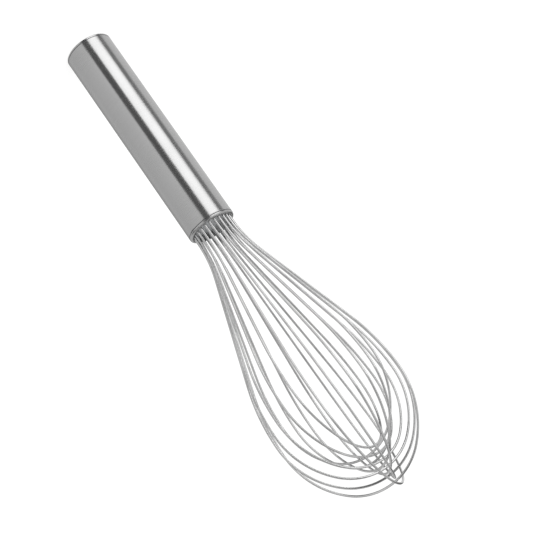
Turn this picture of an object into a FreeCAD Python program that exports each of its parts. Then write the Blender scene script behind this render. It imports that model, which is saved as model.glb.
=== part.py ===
import FreeCAD, Part
import math
import os

Vector = FreeCAD.Vector

# A twelve-inch balloon whisk, in millimetres.
# The whisk's axis is +Z. The flat butt face lies on z = 0 and the balloon points up.

# Handle tube, closed by a welded cap at the butt and spun inwards at the mouth
HANDLE_LENGTH = 132.0
HANDLE_DIAMETER = 28.0
HANDLE_WALL = 0.9
LIP_INNER_BEND = 0.3
LIP_FLAT = 0.55
LIP_EDGE_BREAK = 0.2
CREASE_WIDTH = 0.4

CAP_THICKNESS = 1.2
CAP_EDGE_RADIUS = 0.5
CAP_SPIGOT_LENGTH = 3.0
CAP_SPIGOT_CLEARANCE = 0.05
CAP_SPIGOT_WALL = 1.2

# Wire loops, nested one inside the next and crossing on the axis
WIRE_DIAMETER = 1.3
LOOP_COUNT = 12
LONGEST_LOOP_HEIGHT = 172.35
TIP_STEP = 2.14
BELLY_DIAMETER = 80.0
BELLY_RADIUS_STEP = 0.44
BELLY_HEIGHT = 125.0
BELLY_HEIGHT_STEP = 1.46
NECK_STRAIGHT = 3.0
FLARE_STEEPENING = 1.32
FLARE_RADIUS_SHARE = 0.39
TIP_ARC_ANGLE = 47.0
WIRE_LIP_GAP = 0.2

# The loops cross a little off the axis, as loops threaded by hand settle: a loop that stands
# square to that direction leans over the most, and one that lies along it stays upright
CROSSING_LEAN = 1.25
CROSSING_DIRECTION = 180.0
LEAN_BEND_LENGTH = 2.0

# Anchor inside the mouth: seal, grooved plug and push-in washer
SEAL_RECESS = 3.6
SEAL_THICKNESS = 3.0
PLUG_LENGTH = 22.0
PLUG_CLEARANCE = 0.1
PLUG_BORE = 8.0
GROOVE_CLEARANCE = 0.05
HOOK_BEND_RADIUS = 1.6
HOOK_GAP = 0.45
HOOK_CLEARANCE = 0.05
BOSS_LENGTH = 1.4
WASHER_THICKNESS = 0.8
WASHER_HOLE = 9.0
WASHER_SLOT_COUNT = 12
WASHER_SLOT_DEPTH = 2.2
WASHER_SLOT_WIDTH = 1.2

# How closely an edge's place is matched when edges are picked for rounding
TOLERANCE = 1e-6

# Sizes that follow from the ones above
WIRE_RADIUS = WIRE_DIAMETER / 2
HANDLE_RADIUS = HANDLE_DIAMETER / 2
BORE_RADIUS = HANDLE_RADIUS - HANDLE_WALL
LIP_OUTER_BEND = LIP_INNER_BEND + HANDLE_WALL
LIP_HOLE_RADIUS = HANDLE_RADIUS - LIP_OUTER_BEND - LIP_FLAT
RING_RADIUS = LIP_HOLE_RADIUS - WIRE_LIP_GAP - WIRE_RADIUS
PLANE_PITCH = 180.0 / LOOP_COUNT
FIRST_PLANE = 90.0 + PLANE_PITCH / 2
HOOK_END_RADIUS = (WIRE_DIAMETER + HOOK_GAP) / (2 * math.sin(math.radians(PLANE_PITCH / 2)))

SEAL_TOP = HANDLE_LENGTH - SEAL_RECESS
PLUG_TOP = SEAL_TOP - SEAL_THICKNESS
PLUG_BOTTOM = PLUG_TOP - PLUG_LENGTH
BOSS_BOTTOM = PLUG_BOTTOM - BOSS_LENGTH
HOOK_HEIGHT = BOSS_BOTTOM - HOOK_CLEARANCE - WIRE_RADIUS
WASHER_TOP = HOOK_HEIGHT - WIRE_RADIUS
FLARE_START = HANDLE_LENGTH + NECK_STRAIGHT


def disc(radius, height, bottom):
    """A solid cylinder on the whisk's axis, standing on the level bottom."""
    return Part.makeCylinder(radius, height, Vector(0, 0, bottom))


def around_axis(shape, count, first_angle=0.0):
    """Copies of shape spread evenly around the axis, the first one turned by first_angle."""
    copies = []
    for index in range(count):
        copy = shape.copy()
        copy.rotate(Vector(0, 0, 0), Vector(0, 0, 1), first_angle + index * 360.0 / count)
        copies.append(copy)
    return copies


def plane_point(radius, height):
    """A point in the plane that a loop is drawn in, before the loop is turned into place."""
    return Vector(radius, 0, height)


def line(start, end):
    """A straight edge between two (radius, height) points."""
    return Part.LineSegment(plane_point(*start), plane_point(*end)).toShape()


def on_circle(centre, radius, angle):
    """The (radius, height) point of a circle at an angle in degrees, from outwards to upwards."""
    turn = math.radians(angle)
    return centre[0] + radius * math.cos(turn), centre[1] + radius * math.sin(turn)


def arc(centre, radius, start, end):
    """A circular edge about a (radius, height) centre, between two angles in degrees."""
    angles = (start, (start + end) / 2, end)
    points = [plane_point(*on_circle(centre, radius, angle)) for angle in angles]
    return Part.Arc(*points).toShape()


def turned(edges):
    """The solid that a closed half section makes when it is turned about the axis."""
    face = Part.Face(Part.Wire(Part.__sortEdges__(edges)))
    return face.revolve(Vector(0, 0, 0), Vector(0, 0, 1), 360)


def make_handle_tube():
    """The drawn tube, with its mouth spun inwards into a rounded lip above a fine rolled crease."""
    bend = (HANDLE_RADIUS - LIP_OUTER_BEND, HANDLE_LENGTH - LIP_OUTER_BEND)
    crease = (HANDLE_RADIUS, bend[1] - CREASE_WIDTH / 2)
    inner_face = HANDLE_LENGTH - HANDLE_WALL
    bend_end = bend[0]
    tube = turned([
        line((BORE_RADIUS, CAP_THICKNESS), (HANDLE_RADIUS, CAP_THICKNESS)),
        line((HANDLE_RADIUS, CAP_THICKNESS), (HANDLE_RADIUS, bend[1] - CREASE_WIDTH)),
        arc(crease, CREASE_WIDTH / 2, 270, 90),
        arc(bend, LIP_OUTER_BEND, 0, 90),
        line((bend_end, HANDLE_LENGTH), (LIP_HOLE_RADIUS, HANDLE_LENGTH)),
        line((LIP_HOLE_RADIUS, HANDLE_LENGTH), (LIP_HOLE_RADIUS, inner_face)),
        line((LIP_HOLE_RADIUS, inner_face), (bend_end, inner_face)),
        arc(bend, LIP_INNER_BEND, 90, 0),
        line((BORE_RADIUS, bend[1]), (BORE_RADIUS, CAP_THICKNESS)),
    ])
    hole_edges = [
        edge for edge in tube.Edges
        if isinstance(edge.Curve, Part.Circle) and abs(edge.Curve.Radius - LIP_HOLE_RADIUS) < TOLERANCE
    ]
    return tube.makeFillet(LIP_EDGE_BREAK, hole_edges)


def make_end_cap():
    """The butt's flat cap, with a hollow spigot that centres it in the tube."""
    spigot_radius = BORE_RADIUS - CAP_SPIGOT_CLEARANCE
    plate = disc(HANDLE_RADIUS, CAP_THICKNESS, 0)
    rim = [edge for edge in plate.Edges if edge.BoundBox.ZMax < TOLERANCE and edge.Length > HANDLE_RADIUS]
    plate = plate.makeFillet(CAP_EDGE_RADIUS, rim)
    spigot = disc(spigot_radius, CAP_SPIGOT_LENGTH, CAP_THICKNESS)
    hollow = disc(spigot_radius - CAP_SPIGOT_WALL, CAP_SPIGOT_LENGTH, CAP_THICKNESS)
    return plate.fuse(spigot.cut(hollow)).removeSplitter()


def belly_radii(height, belly_radius, belly_height):
    """The radii of the two tangent arcs from the belly's widest point to the tip."""
    drop = height - belly_height
    sine = math.sin(math.radians(TIP_ARC_ANGLE))
    cosine = math.cos(math.radians(TIP_ARC_ANGLE))
    share = sine + cosine - 1
    side_radius = (drop * cosine - belly_radius * (1 - sine)) / share
    tip_radius = (belly_radius * sine - drop * (1 - cosine)) / share
    return side_radius, tip_radius


def balloon_side(belly_radius, belly_height, side_radius):
    """One side of a loop's balloon: flare, straight run, shoulder and the belly's side arc."""
    width = belly_radius - RING_RADIUS
    rise = belly_height - FLARE_START
    flare = FLARE_STEEPENING * math.atan2(width, rise)
    both_radii = (rise * math.sin(flare) - width * math.cos(flare)) / (1 - math.cos(flare))
    flare_radius = FLARE_RADIUS_SHARE * both_radii
    shoulder_radius = both_radii - flare_radius
    flare_centre = (RING_RADIUS + flare_radius, FLARE_START)
    shoulder_centre = (belly_radius - shoulder_radius, belly_height)
    flare_angle = math.degrees(flare)
    run_start = on_circle(flare_centre, flare_radius, 180 - flare_angle)
    run_end = on_circle(shoulder_centre, shoulder_radius, -flare_angle)
    return [
        arc(flare_centre, flare_radius, 180, 180 - flare_angle),
        line(run_start, run_end),
        arc(shoulder_centre, shoulder_radius, -flare_angle, 0),
        arc((belly_radius - side_radius, belly_height), side_radius, 0, TIP_ARC_ANGLE),
    ]


def leg_side(lean):
    """One leg: hooked end, straight leg and the slight bend that leans the balloon over."""
    hook_turn = RING_RADIUS - HOOK_BEND_RADIUS
    hook_centre = (hook_turn, HOOK_HEIGHT + HOOK_BEND_RADIUS)
    bend_start = FLARE_START - LEAN_BEND_LENGTH
    drift, rise = lean_bend(lean)
    half_drift, half_rise = lean_bend(lean, 0.5)
    bend_points = [
        Vector(RING_RADIUS, 0, bend_start),
        Vector(RING_RADIUS, half_drift, bend_start + half_rise),
        Vector(RING_RADIUS, drift, bend_start + rise),
    ]
    if lean:
        bend = Part.Arc(*bend_points)
    else:
        bend = Part.LineSegment(bend_points[0], bend_points[2])
    return [
        line((HOOK_END_RADIUS, HOOK_HEIGHT), (hook_turn, HOOK_HEIGHT)),
        arc(hook_centre, HOOK_BEND_RADIUS, -90, 0),
        line((RING_RADIUS, hook_centre[1]), (RING_RADIUS, bend_start)),
        bend.toShape(),
    ]


def lean_bend(lean, share=1.0):
    """How far the leaning bend drifts sideways and rises, over a share of its length."""
    if not lean:
        return 0.0, share * LEAN_BEND_LENGTH
    turn = math.radians(lean)
    radius = LEAN_BEND_LENGTH / turn
    return radius * (1 - math.cos(share * turn)), radius * math.sin(share * turn)


def mirrored(edges):
    """The same edges on the other side of the loop's centre line."""
    return [edge.mirror(Vector(0, 0, 0), Vector(1, 0, 0)) for edge in edges]


def make_wire_loop(order):
    """Loop number order, counted from the longest, standing in its own plane."""
    height = HANDLE_LENGTH + LONGEST_LOOP_HEIGHT - order * TIP_STEP
    belly_radius = BELLY_DIAMETER / 2 - WIRE_RADIUS - order * BELLY_RADIUS_STEP
    belly_height = HANDLE_LENGTH + BELLY_HEIGHT - order * BELLY_HEIGHT_STEP
    side_radius, tip_radius = belly_radii(height, belly_radius, belly_height)
    side = balloon_side(belly_radius, belly_height, side_radius)
    tip = arc((0, height - tip_radius), tip_radius, TIP_ARC_ANGLE, 180 - TIP_ARC_ANGLE)
    lean = CROSSING_LEAN * math.sin(math.radians(CROSSING_DIRECTION - plane_angle(order)))
    drift, rise = lean_bend(lean)
    balloon = side + [tip] + mirrored(side)
    for edge in balloon:
        edge.rotate(Vector(0, 0, FLARE_START), Vector(1, 0, 0), -lean)
        edge.translate(Vector(0, drift, rise - LEAN_BEND_LENGTH))
    leg = leg_side(lean)
    path = Part.Wire(Part.__sortEdges__(leg + balloon + mirrored(leg)))

    end = plane_point(HOOK_END_RADIUS, HOOK_HEIGHT)
    section = Part.Wire(Part.makeCircle(WIRE_RADIUS, end, Vector(1, 0, 0)))
    loop = path.makePipeShell([section], True, False)
    error = loop.Volume / (path.Length * math.pi * WIRE_RADIUS ** 2) - 1
    print("loop", order + 1, "length", round(path.Length, 1), "volume error", round(error, 5))
    loop.rotate(Vector(0, 0, 0), Vector(0, 0, 1), plane_angle(order))
    return loop


def plane_angle(order):
    """The turn of a loop's plane: each loop crosses the one before it at about a right angle."""
    half = (LOOP_COUNT + 1) // 2
    step = order // 2 + half * (order % 2)
    return FIRST_PLANE - step * PLANE_PITCH


def wire_legs(radius, bottom, top):
    """Round bars of the given radius along every wire's straight leg."""
    leg = Part.makeCylinder(radius, top - bottom, Vector(RING_RADIUS, 0, bottom))
    return around_axis(leg, 2 * LOOP_COUNT, FIRST_PLANE)


def make_resin_seal():
    """The potting that closes the mouth around the wires, a little below the lip."""
    seal = disc(BORE_RADIUS, SEAL_THICKNESS, PLUG_TOP)
    return seal.cut(wire_legs(WIRE_RADIUS, PLUG_TOP, SEAL_TOP))


def make_wire_plug():
    """The plug that spaces the wires: each leg lies in a groove, hooked round the rear boss."""
    groove_radius = WIRE_RADIUS + GROOVE_CLEARANCE
    outer_radius = BORE_RADIUS - PLUG_CLEARANCE
    boss_radius = RING_RADIUS - WIRE_RADIUS - HOOK_CLEARANCE
    body = disc(outer_radius, PLUG_LENGTH, PLUG_BOTTOM)
    slot = Part.makeBox(
        outer_radius, 2 * groove_radius, PLUG_LENGTH, Vector(RING_RADIUS, -groove_radius, PLUG_BOTTOM)
    )
    slots = around_axis(slot, 2 * LOOP_COUNT, FIRST_PLANE)
    body = body.cut(wire_legs(groove_radius, PLUG_BOTTOM, PLUG_TOP) + slots)
    boss = disc(boss_radius, BOSS_LENGTH, BOSS_BOTTOM)
    boss_edge = [
        edge for edge in boss.Edges
        if edge.BoundBox.ZMax < BOSS_BOTTOM + TOLERANCE and edge.Length > boss_radius
    ]
    boss = boss.makeFillet(HOOK_BEND_RADIUS - WIRE_RADIUS - HOOK_CLEARANCE, boss_edge)
    bore = disc(PLUG_BORE / 2, PLUG_LENGTH + BOSS_LENGTH, BOSS_BOTTOM)
    return body.fuse(boss).cut(bore).removeSplitter()


def make_retaining_washer():
    """The slotted washer that is pushed up the tube and holds the hooked ends on the plug."""
    bottom = WASHER_TOP - WASHER_THICKNESS
    washer = disc(BORE_RADIUS, WASHER_THICKNESS, bottom)
    hole = disc(WASHER_HOLE / 2, WASHER_THICKNESS, bottom)
    corner = Vector(BORE_RADIUS - WASHER_SLOT_DEPTH, -WASHER_SLOT_WIDTH / 2, bottom)
    slot = Part.makeBox(2 * WASHER_SLOT_DEPTH, WASHER_SLOT_WIDTH, WASHER_THICKNESS, corner)
    return washer.cut([hole] + around_axis(slot, WASHER_SLOT_COUNT))


def main():
    """Build every piece and write one STEP file for each."""
    pieces = {
        "handle_tube": make_handle_tube(),
        "end_cap": make_end_cap(),
        "resin_seal": make_resin_seal(),
        "wire_plug": make_wire_plug(),
        "retaining_washer": make_retaining_washer(),
    }
    for order in range(LOOP_COUNT):
        pieces["wire_loop_%02d" % (order + 1)] = make_wire_loop(order)

    os.makedirs("parts", exist_ok=True)
    for name, shape in pieces.items():
        shape.exportStep("parts/%s.step" % name)
        print(name, "valid", shape.isValid(), "solids", len(shape.Solids), "volume", round(shape.Volume, 1))


main()
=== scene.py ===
"""Balloon whisk: a brushed stainless handle with a rolled mouth and a flat butt cap, twelve
spring-wire loops, and the resin that seals them in.

Laid out as an add-on: the Whisk tab of the 3D view's sidebar lists every piece and the stage.
Lengths are metres, the handle's axis is Z and the butt of the handle stands on Z = 0.
"""
import math

import bmesh
import bpy
from mathutils import Matrix, Vector


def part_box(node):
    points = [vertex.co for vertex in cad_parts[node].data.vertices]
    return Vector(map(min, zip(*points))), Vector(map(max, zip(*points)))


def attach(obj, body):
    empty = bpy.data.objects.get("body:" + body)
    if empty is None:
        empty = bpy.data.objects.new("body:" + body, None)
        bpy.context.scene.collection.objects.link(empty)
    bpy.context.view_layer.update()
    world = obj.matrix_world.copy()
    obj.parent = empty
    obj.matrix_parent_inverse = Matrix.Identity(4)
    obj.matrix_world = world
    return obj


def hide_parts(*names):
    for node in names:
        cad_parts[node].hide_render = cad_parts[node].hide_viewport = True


bl_info = {
    "name": "Balloon Whisk",
    "version": (1, 0, 0),
    "blender": (4, 5, 0),
    "location": "View3D > Sidebar > Whisk",
    "description": "Builds a balloon whisk's pieces, finishes and studio around its packed frame",
    "category": "Add Mesh",
}

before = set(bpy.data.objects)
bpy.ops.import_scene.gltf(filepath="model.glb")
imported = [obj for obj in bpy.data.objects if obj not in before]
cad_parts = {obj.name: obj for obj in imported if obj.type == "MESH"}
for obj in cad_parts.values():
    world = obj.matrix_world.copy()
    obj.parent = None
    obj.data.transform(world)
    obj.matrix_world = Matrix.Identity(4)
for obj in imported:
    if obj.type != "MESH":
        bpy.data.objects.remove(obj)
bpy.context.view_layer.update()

MM = 0.001
TAU = 2 * math.pi
UP = (0, 0, 1)
ORIGIN = (0, 0, 0)
WHITE = (1.0, 1.0, 1.0, 1.0)

TUBE_LOW, TUBE_HIGH = (Vector(corner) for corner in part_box("handle_tube"))
CAP_LOW, CAP_HIGH = (Vector(corner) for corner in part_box("end_cap"))
SEAL_HIGH = Vector(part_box("resin_seal")[1])
WIRE_NODES = sorted(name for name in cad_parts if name.startswith("wire_loop_"))


def linear(hex_colour):
    """An sRGB hex colour such as #C8C6C2 as the linear numbers that shaders take."""
    channels = [int(hex_colour[i : i + 2], 16) / 255 for i in (1, 3, 5)]
    return tuple(c / 12.92 if c <= 0.04045 else ((c + 0.055) / 1.055) ** 2.4 for c in channels)


# ---------------------------------------------------------------------------------------------
# Sizes and colours a user may change
# ---------------------------------------------------------------------------------------------


class WhiskSizes(bpy.types.PropertyGroup):
    """Sizes of the pieces that are modelled round the frame."""

    handle_radius: bpy.props.FloatProperty(
        name="Handle radius",
        description="Outside radius of the handle tube",
        default=TUBE_HIGH.x,
        min=0.008,
        max=0.03,
        precision=4,
        subtype="DISTANCE",
        unit="LENGTH",
    )
    tube_wall: bpy.props.FloatProperty(
        name="Tube wall",
        description="Thickness of the handle tube's sheet",
        default=0.9 * MM,
        min=0.3 * MM,
        max=3 * MM,
        precision=5,
        subtype="DISTANCE",
        unit="LENGTH",
    )
    lip_bend: bpy.props.FloatProperty(
        name="Lip bend",
        description="Outside radius of the bend that rolls the tube's mouth inwards",
        default=1.2 * MM,
        min=0.4 * MM,
        max=4 * MM,
        precision=5,
        subtype="DISTANCE",
        unit="LENGTH",
    )
    lip_flat: bpy.props.FloatProperty(
        name="Lip flat",
        description="Flat of the lip between its bend and the hole's edge",
        default=0.55 * MM,
        min=0.05 * MM,
        max=2 * MM,
        precision=5,
        subtype="DISTANCE",
        unit="LENGTH",
    )
    crease_width: bpy.props.FloatProperty(
        name="Crease width",
        description="Width of the round-bottomed crease just below the lip's bend",
        default=0.4 * MM,
        min=0.1 * MM,
        max=1 * MM,
        precision=5,
        subtype="DISTANCE",
        unit="LENGTH",
    )
    cap_edge: bpy.props.FloatProperty(
        name="Cap edge radius",
        description="Rounding of the butt cap's outer edge",
        default=0.5 * MM,
        min=0.1 * MM,
        max=1 * MM,
        precision=5,
        subtype="DISTANCE",
        unit="LENGTH",
    )
    seam_break: bpy.props.FloatProperty(
        name="Seam edge break",
        description="Rounding either side of the joint between the tube and its cap",
        default=0.2 * MM,
        min=0.02 * MM,
        max=0.4 * MM,
        precision=5,
        subtype="DISTANCE",
        unit="LENGTH",
    )
    spigot_wall: bpy.props.FloatProperty(
        name="Spigot wall",
        description="Wall of the cap's spigot, which slips into the tube",
        default=1.2 * MM,
        min=0.4 * MM,
        max=3 * MM,
        precision=5,
        subtype="DISTANCE",
        unit="LENGTH",
    )
    spigot_gap: bpy.props.FloatProperty(
        name="Spigot gap",
        description="Clearance between the spigot and the tube's bore",
        default=0.05 * MM,
        min=0.0,
        max=0.5 * MM,
        precision=5,
        subtype="DISTANCE",
        unit="LENGTH",
    )
    wire_radius: bpy.props.FloatProperty(
        name="Wire radius",
        description="Radius of the spring wire, which the resin wets",
        default=0.65 * MM,
        min=0.3 * MM,
        max=1.5 * MM,
        precision=5,
        subtype="DISTANCE",
        unit="LENGTH",
    )
    wire_ring: bpy.props.FloatProperty(
        name="Wire ring radius",
        description="Radius of the ring on which the wires leave the seal",
        default=11.4 * MM,
        min=4 * MM,
        max=25 * MM,
        precision=5,
        subtype="DISTANCE",
        unit="LENGTH",
    )
    meniscus: bpy.props.FloatProperty(
        name="Meniscus",
        description="How far the cast resin creeps up each wire and the bore before it sets",
        default=0.32 * MM,
        min=0.05 * MM,
        max=1 * MM,
        precision=5,
        subtype="DISTANCE",
        unit="LENGTH",
    )


class WhiskColours(bpy.types.PropertyGroup):
    """Colours of the finishes."""

    tube_steel: bpy.props.FloatVectorProperty(
        name="Tube steel",
        description="Brushed stainless of the handle",
        default=linear("#CDCDCD"),
        min=0.0,
        max=1.0,
        subtype="COLOR",
    )
    wire_steel: bpy.props.FloatVectorProperty(
        name="Wire steel",
        description="Drawn stainless of the loops",
        default=linear("#E5E5E5"),
        min=0.0,
        max=1.0,
        subtype="COLOR",
    )
    washer_steel: bpy.props.FloatVectorProperty(
        name="Washer steel",
        description="Rolled strip of the retaining washer",
        default=linear("#B9B6B0"),
        min=0.0,
        max=1.0,
        subtype="COLOR",
    )
    resin: bpy.props.FloatVectorProperty(
        name="Resin",
        description="Filled epoxy of the seal",
        default=linear("#969899"),
        min=0.0,
        max=1.0,
        subtype="COLOR",
    )
    nylon: bpy.props.FloatVectorProperty(
        name="Nylon",
        description="Natural nylon of the plug inside the handle",
        default=linear("#DAD5C8"),
        min=0.0,
        max=1.0,
        subtype="COLOR",
    )
    floor: bpy.props.FloatVectorProperty(
        name="Floor",
        description="Matt white of the floor",
        default=linear("#F6F6F5"),
        min=0.0,
        max=1.0,
        subtype="COLOR",
    )


class WhiskStage(bpy.types.PropertyGroup):
    """Camera of the studio."""

    aim: bpy.props.FloatVectorProperty(
        name="Aim",
        description="Point the camera looks at",
        default=(-0.0120, 0.0134, 0.1705),
        precision=4,
        subtype="TRANSLATION",
        unit="LENGTH",
    )
    distance: bpy.props.FloatProperty(
        name="Distance",
        description="Camera's distance from the point it looks at",
        default=0.8296,
        min=0.2,
        max=5.0,
        subtype="DISTANCE",
        unit="LENGTH",
    )
    bearing: bpy.props.FloatProperty(
        name="Bearing",
        description="Where the camera stands round the whisk, from the X axis",
        default=math.radians(265.9),
        subtype="ANGLE",
        unit="ROTATION",
    )
    elevation: bpy.props.FloatProperty(
        name="Elevation",
        description="Camera's height above the horizontal, seen from the point it looks at",
        default=math.radians(18.0),
        subtype="ANGLE",
        unit="ROTATION",
    )
    roll: bpy.props.FloatProperty(
        name="Roll",
        description="Turn of the camera about its own line of sight",
        default=math.radians(144.8),
        subtype="ANGLE",
        unit="ROTATION",
    )
    lens: bpy.props.FloatProperty(
        name="Lens",
        description="Focal length in millimetres on a 36 mm wide sensor",
        default=99.8,
        min=20.0,
        max=300.0,
    )


# ---------------------------------------------------------------------------------------------
# Materials
# ---------------------------------------------------------------------------------------------

# Noise stays mostly between these two values, so that range of a pattern is what gets spread.
NOISE_LOW = 0.35
NOISE_HIGH = 0.65

# A Mix node has sockets of the same names for each kind of data; these are the colour ones.
MIX_FIRST = 6
MIX_SECOND = 7
MIX_RESULT = 2


def new_material(name):
    """An empty material of this name; one made before is emptied and used again."""
    material = bpy.data.materials.get(name) or bpy.data.materials.new(name)
    material.use_nodes = True
    material.node_tree.nodes.clear()
    return material


def add_node(tree, kind, settings=None, values=None, links=None):
    """Add one node, set its properties and its sockets' values, and link sources to its sockets.

    A source is an output socket, or a node that stands for its first output."""
    node = tree.nodes.new(kind)
    for name, value in (settings or {}).items():
        setattr(node, name, value)
    for socket, value in (values or {}).items():
        node.inputs[socket].default_value = value
    for socket, source in (links or {}).items():
        output = source.outputs[0] if isinstance(source, bpy.types.Node) else source
        tree.links.new(output, node.inputs[socket])
    return node


def spread(low, high):
    """Values for a Map Range node that spread a pattern from low to high."""
    return {"From Min": NOISE_LOW, "From Max": NOISE_HIGH, "To Min": low, "To Max": high}


def shaded(colour, factor):
    """A colour made lighter or darker."""
    return tuple(min(1.0, channel * factor) for channel in colour)


def pattern(tree, place, size, detail, roughness=0.5):
    """Soft noise whose patches have the given size in metres along each axis."""
    scaled = add_node(
        tree,
        "ShaderNodeMapping",
        values={"Scale": tuple(1 / length for length in size)},
        links={"Vector": place},
    )
    return add_node(
        tree,
        "ShaderNodeTexNoise",
        values={"Scale": 1.0, "Detail": detail, "Roughness": roughness},
        links={"Vector": scaled},
    )


def tinted(tree, marks, first, second):
    """A colour that goes from the first to the second as a pattern rises."""
    share = add_node(tree, "ShaderNodeMapRange", values=spread(0.0, 1.0), links={"Value": marks})
    mix = add_node(
        tree,
        "ShaderNodeMix",
        {"data_type": "RGBA"},
        {MIX_FIRST: tuple(first) + (1.0,), MIX_SECOND: tuple(second) + (1.0,)},
        {"Factor": share},
    )
    return mix.outputs[MIX_RESULT]


def unrolled(tree, place):
    """Coordinates whose Z counts lines that run round the Z axis, up a wall and in over its lip.

    Height less radius rises steadily along that way, so it takes the place of the height."""
    split = add_node(tree, "ShaderNodeSeparateXYZ", links={"Vector": place})
    level = add_node(
        tree,
        "ShaderNodeVectorMath",
        {"operation": "MULTIPLY"},
        {1: (1.0, 1.0, 0.0)},
        {0: place},
    )
    radius = add_node(tree, "ShaderNodeVectorMath", {"operation": "LENGTH"}, links={0: level})
    along = add_node(
        tree,
        "ShaderNodeMath",
        {"operation": "SUBTRACT"},
        links={0: split.outputs["Z"], 1: radius.outputs["Value"]},
    )
    return add_node(
        tree,
        "ShaderNodeCombineXYZ",
        links={"X": split.outputs["X"], "Y": split.outputs["Y"], "Z": along},
    )


def brushed_stainless_tube(colour):
    """304 stainless tube, belt-brushed as it turned on a mandrel, with its rolled ends buffed.

    The scratches run round the tube, so reflections stay crisp across it and smear along it."""
    material = new_material("brushed_stainless_tube")
    tree = material.node_tree
    place = add_node(tree, "ShaderNodeTexCoord").outputs["Object"]
    rounds = unrolled(tree, place)
    # Belt scratches are about 0.05 mm apart; drawn at 0.4 mm, the finest that shows in the render.
    scratches = pattern(tree, rounds, (9 * MM, 9 * MM, 0.4 * MM), 3.0, 0.6)
    # Broader passes of the belt, about 3 mm wide.
    passes = pattern(tree, rounds, (40 * MM, 40 * MM, 3 * MM), 1.0)
    # Faint smudges from handling, about 25 mm across.
    smudges = pattern(tree, place, (25 * MM,) * 3, 2.0)
    rough_lines = add_node(
        tree, "ShaderNodeMapRange", values=spread(0.25, 0.27), links={"Value": scratches}
    )
    rough_smudges = add_node(
        tree, "ShaderNodeMapRange", values=spread(-0.015, 0.02), links={"Value": smudges}
    )
    roughness = add_node(
        tree, "ShaderNodeMath", {"operation": "ADD"}, links={0: rough_lines, 1: rough_smudges}
    )
    fine_relief = add_node(
        tree,
        "ShaderNodeBump",
        values={"Strength": 0.007, "Distance": 0.02 * MM},
        links={"Height": scratches},
    )
    relief = add_node(
        tree,
        "ShaderNodeBump",
        values={"Strength": 0.004, "Distance": 0.05 * MM},
        links={"Height": passes, "Normal": fine_relief},
    )
    around = add_node(tree, "ShaderNodeTangent", {"direction_type": "RADIAL", "axis": "Z"})
    shader = add_node(
        tree,
        "ShaderNodeBsdfPrincipled",
        values={"Metallic": 1.0, "Anisotropic": 0.85, "Anisotropic Rotation": 0.25},
        links={
            "Base Color": tinted(tree, scratches, shaded(colour, 0.975), shaded(colour, 1.02)),
            "Roughness": roughness,
            "Normal": relief,
            "Tangent": around,
        },
    )
    add_node(tree, "ShaderNodeOutputMaterial", links={"Surface": shader})
    return material


def painted_crease_shade():
    """Painted shade: a dark, slightly mottled grey laid in the crease under the lip and in the seam
    at the butt, where shade falls.
    """
    material = new_material("painted_crease_shade")
    tree = material.node_tree
    place = add_node(tree, "ShaderNodeTexCoord").outputs["Object"]
    # Mottle in the painted shade is about 0.5 mm across.
    shade_mottle = pattern(tree, place, (0.5 * MM,) * 3, 2.0)
    roughness = add_node(
        tree, "ShaderNodeMapRange", values=spread(0.45, 0.6), links={"Value": shade_mottle}
    )
    shader = add_node(
        tree,
        "ShaderNodeBsdfPrincipled",
        values={"Metallic": 0.5},
        links={
            # Dark grey from #47474A to #6A6A6C: painted shade for the crease and the seam.
            "Base Color": tinted(tree, shade_mottle, linear("#47474A"), linear("#6A6A6C")),
            "Roughness": roughness,
        },
    )
    add_node(tree, "ShaderNodeOutputMaterial", links={"Surface": shader})
    return material


def drawn_spring_wire(colour):
    """302 stainless spring wire, drawn bright through a die and electropolished after bending.

    It mirrors the room in thin lines along each wire, a little broken by die marks and by the
    slightly uneven polish where the wire was bent."""
    material = new_material("drawn_spring_wire")
    tree = material.node_tree
    place = add_node(tree, "ShaderNodeTexCoord").outputs["Object"]
    # Die marks are a few microns wide; drawn 0.3 mm apart and 14 mm long so that they show.
    marks = pattern(tree, place, (0.3 * MM, 0.3 * MM, 14 * MM), 2.0)
    # Polish varies over about 18 mm of wire.
    polish = pattern(tree, place, (18 * MM,) * 3, 2.0)
    rough_marks = add_node(
        tree, "ShaderNodeMapRange", values=spread(0.08, 0.12), links={"Value": marks}
    )
    rough_polish = add_node(
        tree, "ShaderNodeMapRange", values=spread(0.05, -0.02), links={"Value": polish}
    )
    roughness = add_node(
        tree, "ShaderNodeMath", {"operation": "ADD"}, links={0: rough_marks, 1: rough_polish}
    )
    relief = add_node(
        tree,
        "ShaderNodeBump",
        values={"Strength": 0.15, "Distance": 0.02 * MM},
        links={"Height": marks},
    )
    shader = add_node(
        tree,
        "ShaderNodeBsdfPrincipled",
        values={"Metallic": 1.0},
        links={
            "Base Color": tinted(tree, polish, shaded(colour, 0.86), shaded(colour, 1.05)),
            "Roughness": roughness,
            "Normal": relief,
        },
    )
    add_node(tree, "ShaderNodeOutputMaterial", links={"Surface": shader})
    return material


def cast_epoxy(colour):
    """Mineral-filled epoxy, poured round the wires and left to level.

    A grey, smooth skin with slow ripples where it shrank, specks of filler and a soft gloss."""
    material = new_material("cast_epoxy")
    tree = material.node_tree
    place = add_node(tree, "ShaderNodeTexCoord").outputs["Object"]
    # Filler grains are about 0.1 mm; drawn at 0.5 mm.
    filler = pattern(tree, place, (0.5 * MM,) * 3, 2.0, 0.7)
    # Shrinkage ripples are about 4 mm across.
    ripples = pattern(tree, place, (4 * MM,) * 3, 1.0)
    roughness = add_node(
        tree, "ShaderNodeMapRange", values=spread(0.22, 0.34), links={"Value": ripples}
    )
    relief = add_node(
        tree,
        "ShaderNodeBump",
        values={"Strength": 0.3, "Distance": 0.2 * MM},
        links={"Height": ripples},
    )
    shader = add_node(
        tree,
        "ShaderNodeBsdfPrincipled",
        values={"IOR": 1.55},
        links={
            "Base Color": tinted(tree, filler, shaded(colour, 0.8), shaded(colour, 1.3)),
            "Roughness": roughness,
            "Normal": relief,
        },
    )
    add_node(tree, "ShaderNodeOutputMaterial", links={"Surface": shader})
    return material


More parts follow.
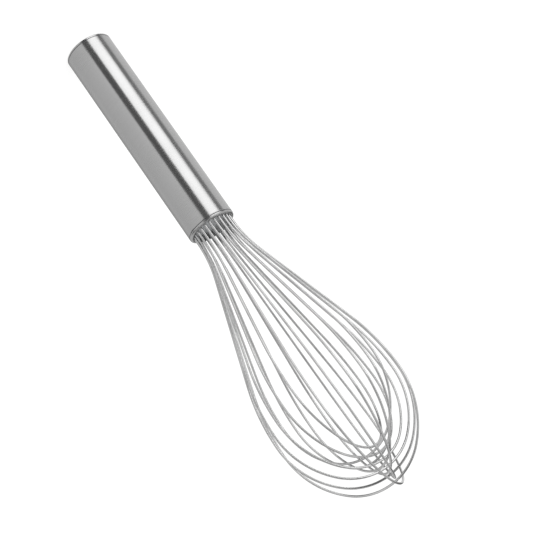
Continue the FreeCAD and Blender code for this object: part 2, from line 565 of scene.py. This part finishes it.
def moulded_nylon(colour):
    """Natural nylon 6, injection moulded: milky and waxy, with faint flow marks along the draw."""
    material = new_material("moulded_nylon")
    tree = material.node_tree
    place = add_node(tree, "ShaderNodeTexCoord").outputs["Object"]
    # Flow marks are about 2 mm wide and run along the plug's axis.
    flow = pattern(tree, place, (2 * MM, 2 * MM, 12 * MM), 2.0)
    # The mould's spark-eroded grain is about 0.3 mm.
    grain = pattern(tree, place, (0.3 * MM,) * 3, 1.0)
    roughness = add_node(
        tree, "ShaderNodeMapRange", values=spread(0.42, 0.55), links={"Value": grain}
    )
    relief = add_node(
        tree,
        "ShaderNodeBump",
        values={"Strength": 0.25, "Distance": 0.03 * MM},
        links={"Height": grain},
    )
    shader = add_node(
        tree,
        "ShaderNodeBsdfPrincipled",
        values={"IOR": 1.53, "Subsurface Weight": 0.15, "Subsurface Scale": 2 * MM},
        links={
            "Base Color": tinted(tree, flow, shaded(colour, 0.92), shaded(colour, 1.03)),
            "Roughness": roughness,
            "Normal": relief,
        },
    )
    add_node(tree, "ShaderNodeOutputMaterial", links={"Surface": shader})
    return material


def rolled_strip(colour):
    """Cold-rolled stainless strip, blanked to shape: dull, with rolling lines one way across it."""
    material = new_material("rolled_strip")
    tree = material.node_tree
    place = add_node(tree, "ShaderNodeTexCoord").outputs["Object"]
    # Rolling lines are about 0.2 mm apart and run along X.
    lines = pattern(tree, place, (8 * MM, 0.2 * MM, 0.2 * MM), 2.0)
    roughness = add_node(
        tree, "ShaderNodeMapRange", values=spread(0.34, 0.46), links={"Value": lines}
    )
    relief = add_node(
        tree,
        "ShaderNodeBump",
        values={"Strength": 0.2, "Distance": 0.02 * MM},
        links={"Height": lines},
    )
    shader = add_node(
        tree,
        "ShaderNodeBsdfPrincipled",
        values={"Metallic": 1.0},
        links={
            "Base Color": tinted(tree, lines, shaded(colour, 0.88), shaded(colour, 1.06)),
            "Roughness": roughness,
            "Normal": relief,
        },
    )
    add_node(tree, "ShaderNodeOutputMaterial", links={"Surface": shader})
    return material


def matt_white_sweep(colour):
    """Matt white vinyl lit from below as a light table: nearly shadowless, faintly mottled."""
    material = new_material("matt_white_sweep")
    tree = material.node_tree
    place = add_node(tree, "ShaderNodeTexCoord").outputs["Object"]
    # The mottle is about 400 mm across.
    mottle = pattern(tree, place, (400 * MM,) * 3, 2.0)
    shader = add_node(
        tree,
        "ShaderNodeBsdfPrincipled",
        values={
            "Roughness": 0.9,
            "Specular IOR Level": 0.0,
            "Emission Color": WHITE,
            "Emission Strength": 0.72,
        },
        links={"Base Color": tinted(tree, mottle, shaded(colour, 0.36), shaded(colour, 0.38))},
    )
    add_node(tree, "ShaderNodeOutputMaterial", links={"Surface": shader})
    return material


def glowing_card():
    """Diffusing card lit from behind; its mesh says how bright it is at each point."""
    material = new_material("glowing_card")
    tree = material.node_tree
    level = add_node(tree, "ShaderNodeAttribute", {"attribute_name": "brightness"})
    shader = add_node(
        tree,
        "ShaderNodeEmission",
        values={"Color": WHITE},
        links={"Strength": level.outputs["Fac"]},
    )
    add_node(tree, "ShaderNodeOutputMaterial", links={"Surface": shader})
    return material


# ---------------------------------------------------------------------------------------------
# Modelling
# ---------------------------------------------------------------------------------------------

FULL_TURN_STEPS = 192

# A rounding takes nearly all of the way to the next one, so that no two points of an outline meet.
NEARLY_ALL = 0.98
BEND_NEARLY_ALL = 0.995

# The share of the seam's rounding, from the joint outwards, that gets the painted shade.
SEAM_SHARE = 0.9

# Points of a spun mesh closer than this are one point.
MERGE_DISTANCE = 0.0005 * MM


def outline(bm, points, closed):
    """A chain of edges through (radius, height) points in the XZ plane."""
    corners = [bm.verts.new((radius, 0.0, height)) for radius, height in points]
    followers = corners[1:] + (corners[:1] if closed else [])
    for first, second in zip(corners, followers):
        bm.edges.new((first, second))


def round_corner(bm, point, radius, segments):
    """Turn the outline's corner at a (radius, height) point into an arc."""
    place = Vector((point[0], 0.0, point[1]))
    corner = min(bm.verts, key=lambda vert: (vert.co - place).length_squared)
    bmesh.ops.bevel(
        bm,
        geom=[corner],
        offset=radius,
        offset_type="OFFSET",
        segments=segments,
        profile=0.5,
        affect="VERTICES",
        material=-1,
    )


def spin_outline(bm, geometry, steps):
    """Turn an outline once round the Z axis, and close its seam and poles."""
    bmesh.ops.spin(
        bm,
        geom=geometry,
        cent=ORIGIN,
        axis=UP,
        dvec=ORIGIN,
        angle=TAU,
        steps=steps,
        use_merge=True,
        use_duplicate=False,
    )
    bmesh.ops.remove_doubles(bm, verts=bm.verts[:], dist=MERGE_DISTANCE)
    bmesh.ops.recalc_face_normals(bm, faces=bm.faces[:])


def make_object(context, name, bm, materials):
    """A scene object from a finished bmesh, in place of one of the same name."""
    old = bpy.data.objects.get(name)
    if old is not None:
        bpy.data.objects.remove(old)
    mesh = bpy.data.meshes.new(name)
    bm.to_mesh(mesh)
    bm.free()
    for material in materials:
        mesh.materials.append(material)
    made = bpy.data.objects.new(name, mesh)
    context.scene.collection.objects.link(made)
    return made


def make_piece(context, name, bm, materials):
    """A shown piece from a finished bmesh, riding with the frame's one body."""
    for face in bm.faces:
        face.smooth = True
    piece = make_object(context, name, bm, materials)
    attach(piece, "root")
    return piece


def repaint(node_names, material):
    """Give carried-over frame nodes a finish through their material slots."""
    for name in node_names:
        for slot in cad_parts[name].material_slots:
            slot.material = material


class WHISK_OT_handle(bpy.types.Operator):
    """Handle tube, drawn and rolled inwards at its mouth"""

    bl_idname = "whisk.handle"
    bl_label = "Handle Tube"

    def execute(self, context):
        sizes = context.scene.whisk_sizes
        outside = sizes.handle_radius
        bore = outside - sizes.tube_wall
        hole = outside - sizes.lip_bend - sizes.lip_flat
        bottom, top = TUBE_LOW.z, TUBE_HIGH.z
        under_lip = top - sizes.tube_wall
        hole_break = 0.2 * MM
        # A straight margin beside each bend keeps the wall's shading flat.
        margin = 0.5 * MM
        crease = top - sizes.lip_bend
        depth = 0.5 * sizes.crease_width
        bm = bmesh.new()
        outline(
            bm,
            [
                (outside, bottom),
                (outside, bottom + margin),
                (outside, crease - sizes.crease_width - margin),
                (outside, crease - sizes.crease_width),
                (outside - depth, crease - sizes.crease_width),
                (outside - depth, crease),
                (outside, crease),
                (outside, top),
                (hole, top),
                (hole, under_lip),
                (bore, under_lip),
                (bore, under_lip - sizes.lip_bend - margin),
                (bore, bottom + margin),
                (bore, bottom),
            ],
            closed=True,
        )
        round_corner(bm, (outside, bottom), sizes.seam_break, 3)
        for corner in (crease - sizes.crease_width, crease):
            round_corner(bm, (outside - depth, corner), NEARLY_ALL * depth, 6)
        round_corner(bm, (outside, top), BEND_NEARLY_ALL * sizes.lip_bend, 12)
        round_corner(bm, (hole, top), hole_break, 4)
        round_corner(bm, (hole, under_lip), hole_break, 4)
        round_corner(bm, (bore, under_lip), sizes.lip_bend - sizes.tube_wall, 8)
        # The long walls are cut across so that their faces aren't slivers.
        long_walls = [edge for edge in bm.edges if edge.calc_length() > 0.5 * (top - bottom)]
        bmesh.ops.subdivide_edges(bm, edges=long_walls, cuts=15)
        spin_outline(bm, bm.verts[:] + bm.edges[:], FULL_TURN_STEPS)
        # Painted shade lies where the outer face dips below the tube's full radius, in the crease
        # and in the seam.
        seam_top = bottom + SEAM_SHARE * sizes.seam_break
        dip_low, dip_high = outside - 0.5 * sizes.tube_wall, outside - 0.005 * MM
        for face in bm.faces:
            middle = face.calc_center_median()
            in_crease = crease - sizes.crease_width < middle.z < crease
            in_seam = bottom < middle.z < seam_top
            in_dip = dip_low < middle.xy.length < dip_high
            face.material_index = 1 if (in_crease or in_seam) and in_dip else 0
        steel = brushed_stainless_tube(context.scene.whisk_colours.tube_steel)
        # The second material is painted shade for the crease and the seam.
        finishes = [steel, painted_crease_shade()]
        piece = make_piece(context, "handle_shell", bm, finishes)
        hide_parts("handle_tube")
        return {"FINISHED"}


class WHISK_OT_cap(bpy.types.Operator):
    """Butt cap with a rounded edge, welded on a spigot that slips into the tube"""

    bl_idname = "whisk.cap"
    bl_label = "Butt Cap"

    def execute(self, context):
        sizes = context.scene.whisk_sizes
        outside = sizes.handle_radius
        spigot = outside - sizes.tube_wall - sizes.spigot_gap
        pocket = spigot - sizes.spigot_wall
        bottom, joint, top = CAP_LOW.z, TUBE_LOW.z, CAP_HIGH.z
        margin = 0.3 * MM
        spigot_break = 0.25 * MM
        bm = bmesh.new()
        outline(
            bm,
            [
                (0.0, bottom),
                (0.5 * outside, bottom),
                (outside - sizes.cap_edge - margin, bottom),
                (outside, bottom),
                (outside, joint),
                (spigot, joint),
                (spigot, joint + margin),
                (spigot, top),
                (pocket, top),
                (pocket, joint),
                (pocket - margin, joint),
                (0.0, joint),
            ],
            closed=False,
        )
        round_corner(bm, (outside, bottom), sizes.cap_edge, 10)
        round_corner(bm, (outside, joint), sizes.seam_break, 3)
        round_corner(bm, (spigot, top), spigot_break, 3)
        round_corner(bm, (pocket, top), spigot_break, 3)
        spin_outline(bm, bm.verts[:] + bm.edges[:], FULL_TURN_STEPS)
        # Painted shade goes on the cap's side of the seam's rounding, outside the spigot.
        seam_foot = joint - SEAM_SHARE * sizes.seam_break
        for face in bm.faces:
            middle = face.calc_center_median()
            in_seam = seam_foot < middle.z < joint
            face.material_index = 1 if in_seam and middle.xy.length > spigot else 0
        steel = brushed_stainless_tube(context.scene.whisk_colours.tube_steel)
        # The second material is painted shade for the seam.
        finishes = [steel, painted_crease_shade()]
        piece = make_piece(context, "butt_cap", bm, finishes)
        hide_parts("end_cap")
        return {"FINISHED"}


def spin_meniscus(bm, wall, level, creep, side, steps):
    """A ring of resin with a hollow slope, from its level up a round wall about the Z axis.

    The side is 1 round a wire and -1 inside a bore. Returns the ring's vertices."""
    bite = 0.03 * MM * side
    reach = creep * side
    profile = bmesh.new()
    outline(
        profile,
        [
            (wall - bite, level - abs(bite)),
            (wall + reach, level - abs(bite)),
            (wall + reach, level),
            (wall, level),
            (wall, level + creep),
            (wall - bite, level + creep),
        ],
        closed=True,
    )
    round_corner(profile, (wall, level), NEARLY_ALL * creep, 5)
    spin_outline(profile, profile.verts[:] + profile.edges[:], steps)
    ring = bpy.data.meshes.new("ring")
    profile.to_mesh(ring)
    profile.free()
    held = len(bm.verts)
    bm.from_mesh(ring)
    bpy.data.meshes.remove(ring)
    bm.verts.ensure_lookup_table()
    return bm.verts[held:]


class WHISK_OT_seal(bpy.types.Operator):
    """Resin seal, with the menisci where it wetted each wire and the bore"""

    bl_idname = "whisk.seal"
    bl_label = "Resin Seal"

    def execute(self, context):
        sizes = context.scene.whisk_sizes
        resin = cast_epoxy(context.scene.whisk_colours.resin)
        repaint(["resin_seal"], resin)
        level = SEAL_HIGH.z
        creep = sizes.meniscus
        bm = bmesh.new()
        leg_count = 2 * len(WIRE_NODES)
        for leg in range(leg_count):
            collar = spin_meniscus(bm, sizes.wire_radius, level, creep, 1, 20)
            turn = TAU * (leg + 0.5) / leg_count
            place = Vector((math.cos(turn), math.sin(turn), 0.0)) * sizes.wire_ring
            bmesh.ops.translate(bm, verts=collar, vec=place)
        spin_meniscus(bm, SEAL_HIGH.x, level, creep, -1, FULL_TURN_STEPS // 2)
        bmesh.ops.recalc_face_normals(bm, faces=bm.faces[:])
        make_piece(context, "resin_menisci", bm, [resin])
        return {"FINISHED"}


class WHISK_OT_wires(bpy.types.Operator):
    """Finish of the twelve wire loops"""

    bl_idname = "whisk.wires"
    bl_label = "Wire Loops"

    def execute(self, context):
        repaint(WIRE_NODES, drawn_spring_wire(context.scene.whisk_colours.wire_steel))
        return {"FINISHED"}


class WHISK_OT_inside(bpy.types.Operator):
    """Finish of the plug and the retaining washer inside the handle"""

    bl_idname = "whisk.inside"
    bl_label = "Plug and Washer"

    def execute(self, context):
        colours = context.scene.whisk_colours
        repaint(["wire_plug"], moulded_nylon(colours.nylon))
        repaint(["retaining_washer"], rolled_strip(colours.washer_steel))
        return {"FINISHED"}


# ---------------------------------------------------------------------------------------------
# Stage
# ---------------------------------------------------------------------------------------------

# Two rings of card stand round the whisk, one level with it and reaching far below it, and one
# above. Each list gives a bearing in degrees and the card's brightness there; between two
# bearings the brightness changes evenly. Only the pieces mirror the cards, and the softbox
# and the dark flags either side of it are what give the handle its bands.
LEVEL_RING = [
    (0, 0.575),
    (36, 0.57),
    (42, 0.42),
    (84, 0.38),
    (87, 0.68),
    (120, 0.72),
    (169, 0.68),
    (170, 0.20),
    (193, 0.20),
    (194, 1.30),
    (205, 1.60),
    (225, 1.60),
    (243, 1.42),
    (244, 0.115),
    (273, 0.115),
    (274, 0.74),
    (292, 0.66),
    (320, 0.605),
    (360, 0.575),
]
UPPER_RING = [
    (0, 0.12),
    (12, 0.15),
    (16, 0.55),
    (80, 0.58),
    (84, 0.15),
    (118, 0.15),
    (122, 0.55),
    (190, 0.60),
    (194, 0.85),
    (243, 0.85),
    (245, 0.10),
    (283, 0.10),
    (287, 0.65),
    (343, 0.60),
    (347, 0.12),
    (360, 0.12),
]
RING_RADIUS = 1.3
RING_LOW = -1.8
RING_MIDDLE = 0.3
RING_HIGH = 3.0
RING_STEPS = 360
CEILING_BRIGHTNESS = 0.4
PIT_BRIGHTNESS = 0.18

FLOOR_HALF_WIDTH = 30.0
# The floor lies a hair below the butt, so that the two faces don't fight for the same place.
FLOOR_GAP = 0.02 * MM
LAMP_PLACE = Vector((-0.5, -0.6, 1.3))
LAMP_AIM = Vector((0, 0, 0.15))


def brightness_at(table, bearing):
    """The brightness that a ring's list gives for a bearing in degrees."""
    for (start, first), (end, second) in zip(table, table[1:]):
        if start <= bearing <= end:
            return first + (second - first) * (bearing - start) / (end - start)
    return table[-1][1]


def make_card(context, name, bm, glow, table):
    """A card that shows in reflections and nowhere else, as bright as its list says."""
    brightness = bm.verts.layers.float.new("brightness")
    for vert in bm.verts:
        bearing = math.degrees(math.atan2(vert.co.y, vert.co.x)) % 360
        vert[brightness] = brightness_at(table, bearing)
    card = make_object(context, name, bm, [glow])
    card.visible_camera = False
    card.visible_diffuse = False
    card.visible_shadow = False
    card.visible_transmission = False


def make_card_ring(context, name, glow, low, high, table):
    """A card bent round the whisk, spun from one upright edge."""
    bm = bmesh.new()
    foot = bm.verts.new((RING_RADIUS, 0, low))
    head = bm.verts.new((RING_RADIUS, 0, high))
    edge = bm.edges.new((foot, head))
    spin_outline(bm, [foot, head, edge], RING_STEPS)
    make_card(context, name, bm, glow, table)


def make_card_disc(context, name, glow, height, brightness):
    """A round card that closes the rings above or below."""
    bm = bmesh.new()
    level = Matrix.Translation((0, 0, height))
    bmesh.ops.create_circle(bm, cap_ends=True, radius=RING_RADIUS, segments=48, matrix=level)
    make_card(context, name, bm, glow, [(0, brightness), (360, brightness)])


class WHISK_OT_stage(bpy.types.Operator):
    """Pale floor, white room, reflection cards, softbox and camera"""

    bl_idname = "whisk.stage"
    bl_label = "Stage"

    def execute(self, context):
        scene = context.scene
        stage = scene.whisk_stage
        bm = bmesh.new()
        bmesh.ops.create_grid(bm, x_segments=1, y_segments=1, size=FLOOR_HALF_WIDTH)
        bmesh.ops.translate(bm, verts=bm.verts[:], vec=(0, 0, -FLOOR_GAP))
        floor = make_object(context, "floor", bm, [matt_white_sweep(scene.whisk_colours.floor)])
        floor.visible_glossy = False
        glow = glowing_card()
        make_card_ring(context, "card_level", glow, RING_LOW, RING_MIDDLE, LEVEL_RING)
        make_card_ring(context, "card_upper", glow, RING_MIDDLE, RING_HIGH, UPPER_RING)
        make_card_disc(context, "card_ceiling", glow, RING_HIGH, CEILING_BRIGHTNESS)
        make_card_disc(context, "card_pit", glow, RING_LOW, PIT_BRIGHTNESS)

        lamp = bpy.data.lights.new("soft_top_light", "AREA")
        lamp.shape = "DISK"
        lamp.size = 0.7
        lamp.energy = 6.0
        light = bpy.data.objects.new("soft_top_light", lamp)
        light.location = LAMP_PLACE
        light.rotation_mode = "QUATERNION"
        light.rotation_quaternion = (LAMP_AIM - LAMP_PLACE).to_track_quat("-Z", "Y")
        light.visible_glossy = False
        scene.collection.objects.link(light)

        world = bpy.data.worlds.new("white_room")
        world.use_nodes = True
        world.node_tree.nodes.clear()
        sky = add_node(
            world.node_tree,
            "ShaderNodeBackground",
            values={"Color": WHITE, "Strength": 1.0},
        )
        add_node(world.node_tree, "ShaderNodeOutputWorld", links={"Surface": sky})
        scene.world = world
        scene.view_settings.view_transform = "Standard"

        aim = Vector(stage.aim)
        back = Vector(
            (
                math.cos(stage.bearing) * math.cos(stage.elevation),
                math.sin(stage.bearing) * math.cos(stage.elevation),
                math.sin(stage.elevation),
            )
        )
        view = bpy.data.cameras.new("camera")
        view.sensor_width = 36.0
        view.lens = stage.lens
        view.clip_start = 0.01
        view.clip_end = 100.0
        camera = bpy.data.objects.new("camera", view)
        camera.matrix_world = (
            Matrix.Translation(aim + back * stage.distance)
            @ (-back).to_track_quat("-Z", "Y").to_matrix().to_4x4()
            @ Matrix.Rotation(stage.roll, 4, "Z")
        )
        scene.collection.objects.link(camera)
        scene.camera = camera
        return {"FINISHED"}


OPERATORS = [
    WHISK_OT_stage,
    WHISK_OT_handle,
    WHISK_OT_cap,
    WHISK_OT_seal,
    WHISK_OT_wires,
    WHISK_OT_inside,
]


class WHISK_PT_panel(bpy.types.Panel):
    """The whisk's pieces, sizes and colours"""

    bl_idname = "WHISK_PT_panel"
    bl_label = "Balloon Whisk"
    bl_space_type = "VIEW_3D"
    bl_region_type = "UI"
    bl_category = "Whisk"

    def draw(self, context):
        layout = self.layout
        for operator in OPERATORS:
            layout.operator(operator.bl_idname)
        for group in (
            context.scene.whisk_sizes,
            context.scene.whisk_colours,
            context.scene.whisk_stage,
        ):
            box = layout.box()
            for name in group.bl_rna.properties.keys():
                if name not in {"name", "rna_type"}:
                    box.prop(group, name)


CLASSES = [WhiskSizes, WhiskColours, WhiskStage, *OPERATORS, WHISK_PT_panel]


def register():
    """Add the classes and the scene's settings."""
    for cls in CLASSES:
        bpy.utils.register_class(cls)
    bpy.types.Scene.whisk_sizes = bpy.props.PointerProperty(type=WhiskSizes)
    bpy.types.Scene.whisk_colours = bpy.props.PointerProperty(type=WhiskColours)
    bpy.types.Scene.whisk_stage = bpy.props.PointerProperty(type=WhiskStage)


def unregister():
    """Remove them again."""
    del bpy.types.Scene.whisk_stage
    del bpy.types.Scene.whisk_colours
    del bpy.types.Scene.whisk_sizes
    for cls in reversed(CLASSES):
        bpy.utils.unregister_class(cls)


def main():
    """Build the whole scene."""
    register()
    bpy.ops.whisk.stage()
    bpy.ops.whisk.handle()
    bpy.ops.whisk.cap()
    bpy.ops.whisk.seal()
    bpy.ops.whisk.wires()
    bpy.ops.whisk.inside()
    bpy.context.view_layer.update()


if __name__ == "__main__":
    main()
